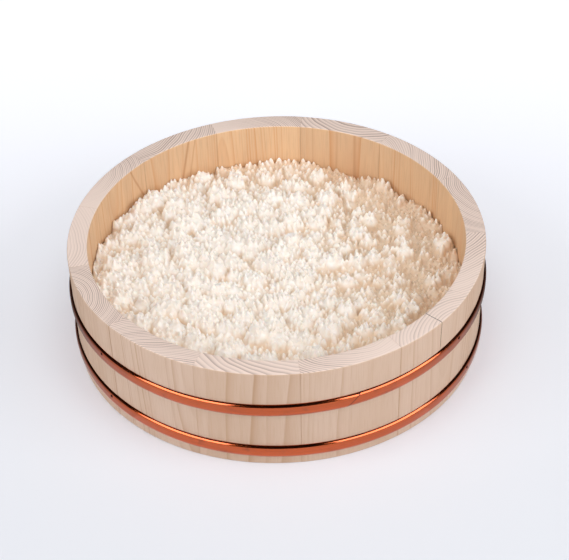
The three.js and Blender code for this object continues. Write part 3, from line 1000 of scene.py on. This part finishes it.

# Stage: a plain pale table, two soft boxes at the front left and right, and a soft light overhead.
# A dark tent, two white cards and a dark sheet on the table at either side only show in the copper.
# The cards glow on their own and give the copper its highlights; the dark sheets stand in for the
# shade on the table beside the tub.
# The camera looks down at the tub from the front.

TABLE_HALF = 6.0
TABLE_DROP = 0.1 * MM
TABLE_WHITE = (0.75, 0.77, 0.82, 1.0)
TABLE_GLOW = (0.06, 0.5)
TABLE_GLOW_FROM = (-0.3, 0.6)
TABLE_GLOW_TINT = (0.93, 0.93, 1.0, 1.0)
DULL = {"Roughness": 1.0, "Specular IOR Level": 0.0}


def seen_directly(tree):
    """1 for a ray that comes from the camera, or by way of metal or glass, and otherwise 0."""
    path = add_node(tree, "LightPath").outputs
    mirrored = calc(tree, "MAXIMUM", path["Is Glossy Ray"], path["Is Transmission Ray"])
    return calc(tree, "MAXIMUM", path["Is Camera Ray"], mirrored)


def add_table():
    """A white table that keeps the tub's shadow and glows a little more towards the back."""
    corners = [(-1, -1), (1, -1), (1, 1), (-1, 1)]
    points = [(x * TABLE_HALF, y * TABLE_HALF, -TABLE_DROP) for x, y in corners]
    table = new_piece("table", points, [(0, 1, 2, 3)])
    finish, tree, surface = new_finish("table_white")
    set_surface(surface, {"Base Color": TABLE_WHITE, "Emission Color": TABLE_GLOW_TINT, **DULL})
    depth = axes_of(tree, add_node(tree, "TexCoord").outputs["Object"])["Y"]
    glow = ramp(tree, depth, *TABLE_GLOW_FROM, *TABLE_GLOW)
    glow = calc(tree, "MULTIPLY", seen_directly(tree), glow)
    tree.links.new(glow, surface.inputs["Emission Strength"])
    table.data.materials.append(finish)


def show_in_metal_only(thing):
    """Keeps a thing of the stage out of all but reflections."""
    thing.visible_camera = False
    thing.visible_diffuse = False
    thing.visible_shadow = False


TENT_RADIUS = 3.0
TENT_SIDES = 48
TENT_RINGS = 8
TENT_GREY = (0.04, 0.04, 0.04, 1)


def add_tent():
    """A dome of dull dark cloth, open at the top."""
    points = []
    for rise in np.linspace(0, math.pi / 2, TENT_RINGS, endpoint=False):
        for turn in np.linspace(0, 2 * math.pi, TENT_SIDES, endpoint=False):
            way = (math.cos(rise) * math.cos(turn), math.cos(rise) * math.sin(turn), math.sin(rise))
            points.append(tuple(TENT_RADIUS * part for part in way))
    tent = new_piece("tent", points, swept_faces(TENT_RINGS, TENT_SIDES)[:-2])
    finish, _, surface = new_finish("tent_cloth")
    set_surface(surface, {"Base Color": TENT_GREY, **DULL})
    tent.data.materials.append(finish)
    show_in_metal_only(tent)


STRIP_STEPS = 12
CARD_RADIUS = 1.7
# The cards glow on their own like lamps, and what the copper shows of them is its highlights.
CARD_GLOW = {
    "Base Color": (0.8, 0.8, 0.8, 1),
    "Emission Color": (0.94, 0.92, 1, 1),
    "Emission Strength": 3.6,
}


def bent_strip(name, first, last, edges):
    """A strip between two azimuths, with the radius and the height of its two edges."""
    points = []
    for radius, height in edges:
        for turn in np.linspace(first, last, STRIP_STEPS + 1):
            points.append(wall_place(turn, radius, height).translation)
    side = STRIP_STEPS + 1
    faces = [(i, i + 1, side + i + 1, side + i) for i in range(STRIP_STEPS)]
    return new_piece(name, points, faces)


def add_card(name, first, last, low, high):
    """A white card inside the tent that glows on its own and gives the copper its highlights,
    between two azimuths and two elevations.
    """
    rises = np.radians((low, high))
    edges = [(CARD_RADIUS * math.cos(rise), CARD_RADIUS * math.sin(rise)) for rise in rises]
    card = bent_strip(name, first, last, edges)
    finish, _, surface = new_finish(f"{name}_glow_strip")
    set_surface(surface, CARD_GLOW)
    card.data.materials.append(finish)
    show_in_metal_only(card)


# The dark sheets, which stand in for the shade on the table beside the tub as the copper shows it:
# from where to where they reach, how high they lie, and the azimuths between which they darken from
# the front and from the back.
DARK_FLOOR_REACH = (0.168, 2.9)
DARK_FLOOR_HEIGHT = 1 * MM
DARK_FLOOR_FADE = (48, 112)
DARK_FLOOR_BACK_FADE = (150, 122)
DARK_FLOOR_TONES = (0.75, 0.12)


def add_dark_floor(name, first, last):
    """A dark sheet on the table at one side, between two azimuths, that stands in for the shade
    beside the tub in the copper.
    """
    edges = [(reach, DARK_FLOOR_HEIGHT) for reach in DARK_FLOOR_REACH]
    cloth = bent_strip(name, first, last, edges)
    finish, tree, surface = new_finish(f"{name}_cloth")
    spot = axes_of(tree, add_node(tree, "TexCoord").outputs["Object"])
    turn = calc(tree, "ABSOLUTE", azimuth_of(tree, spot))
    front = ramp(tree, turn, *np.radians(DARK_FLOOR_FADE), *DARK_FLOOR_TONES)
    back = ramp(tree, turn, *np.radians(DARK_FLOOR_BACK_FADE), *DARK_FLOOR_TONES)
    tree.links.new(calc(tree, "MAXIMUM", front, back), surface.inputs["Base Color"])
    set_surface(surface, DULL)
    cloth.data.materials.append(finish)
    show_in_metal_only(cloth)


ROOM_LIGHT = 0.29


def light_room():
    """Even light from all round, in front of a white background."""
    world = bpy.data.worlds.new("room")
    world.use_nodes = True
    tree = world.node_tree
    level = calc(tree, "MULTIPLY_ADD", seen_directly(tree), 1 - ROOM_LIGHT, ROOM_LIGHT)
    tree.links.new(level, tree.nodes["Background"].inputs["Strength"])
    tree.nodes["Background"].inputs["Color"].default_value = (1, 1, 1, 1)
    bpy.context.scene.world = world


def add_soft_light(name, azimuth, elevation, distance, width, brightness):
    """A square soft box that faces the rim, with the brightness of its own face."""
    lamp = bpy.data.lights.new(name, "AREA")
    lamp.shape = "SQUARE"
    lamp.size = width
    lamp.energy = brightness * math.pi * width * width
    box = bpy.data.objects.new(name, lamp)
    bpy.context.scene.collection.objects.link(box)
    rise = math.radians(elevation)
    spot = wall_place(azimuth, distance * math.cos(rise), distance * math.sin(rise)).translation
    aim = Vector((0, 0, TUB_HEIGHT)) - spot
    facing = aim.to_track_quat("-Z", "Y").to_matrix().to_4x4()
    box.matrix_world = Matrix.Translation(spot) @ facing
    box.visible_camera = False
    # The copper shows the glowing cards as its highlights instead of the soft boxes.
    box.visible_glossy = False


# The camera: its lens and its aim in pixels of the picture, its tilt and its roll in radians.
FOCAL_PIXELS = 1900
PICTURE_WIDTH = 569
PICTURE_HEIGHT = 560
SENSOR_WIDTH = 36
RIM_CENTRE_PIXEL = (276.33, 234.35)
CAMERA_DISTANCE = 1.4995
CAMERA_TILT = 0.662
CAMERA_ROLL = -0.0294


def add_camera():
    """A camera that puts the rim's middle on its pixel, at the distance and tilt of the picture."""
    away = np.array([0, -math.cos(CAMERA_TILT), math.sin(CAMERA_TILT)])
    eye = np.array([0, 0, TUB_HEIGHT]) + CAMERA_DISTANCE * away
    right = np.array([1.0, 0, 0])
    straight = np.stack([right, np.cross(-away, right), -away])
    aside = (RIM_CENTRE_PIXEL[0] - PICTURE_WIDTH / 2) / FOCAL_PIXELS
    below = (RIM_CENTRE_PIXEL[1] - PICTURE_HEIGHT / 2) / FOCAL_PIXELS
    yaw = math.atan2(aside, 1)
    pitch = math.atan2(below, math.hypot(aside, 1))
    turned = Matrix.Rotation(yaw, 3, "Y") @ Matrix.Rotation(-pitch, 3, "X")
    turned = turned @ Matrix.Rotation(CAMERA_ROLL, 3, "Z")
    right, down, forward = np.array(turned) @ straight
    lens = bpy.data.cameras.new("camera")
    lens.sensor_width = SENSOR_WIDTH
    lens.lens = FOCAL_PIXELS / PICTURE_WIDTH * SENSOR_WIDTH
    camera = bpy.data.objects.new("camera", lens)
    bpy.context.scene.collection.objects.link(camera)
    axes = Matrix([right, -down, -forward]).transposed().to_4x4()
    camera.matrix_world = Matrix.Translation(eye) @ axes
    bpy.context.scene.camera = camera


add_table()
add_tent()
add_card("right_card", first=26, last=80, low=6, high=40)
add_card("left_card", first=-71, last=-25, low=6, high=40)
# Dark sheets that stand in for the shade on the table beside the tub, as the copper shows it.
add_dark_floor("right_dark_floor", first=46, last=150)
add_dark_floor("left_dark_floor", first=-150, last=-46)
light_room()
add_soft_light("right_soft_box", azimuth=58, elevation=30, distance=1.7, width=1.3, brightness=2.5)
add_soft_light("left_soft_box", azimuth=-58, elevation=30, distance=1.7, width=1.3, brightness=2.05)
add_soft_light("overhead_soft_box", azimuth=0, elevation=72, distance=2.2, width=1.7, brightness=2.0)
add_camera()
bpy.context.scene.view_settings.view_transform = "Standard"
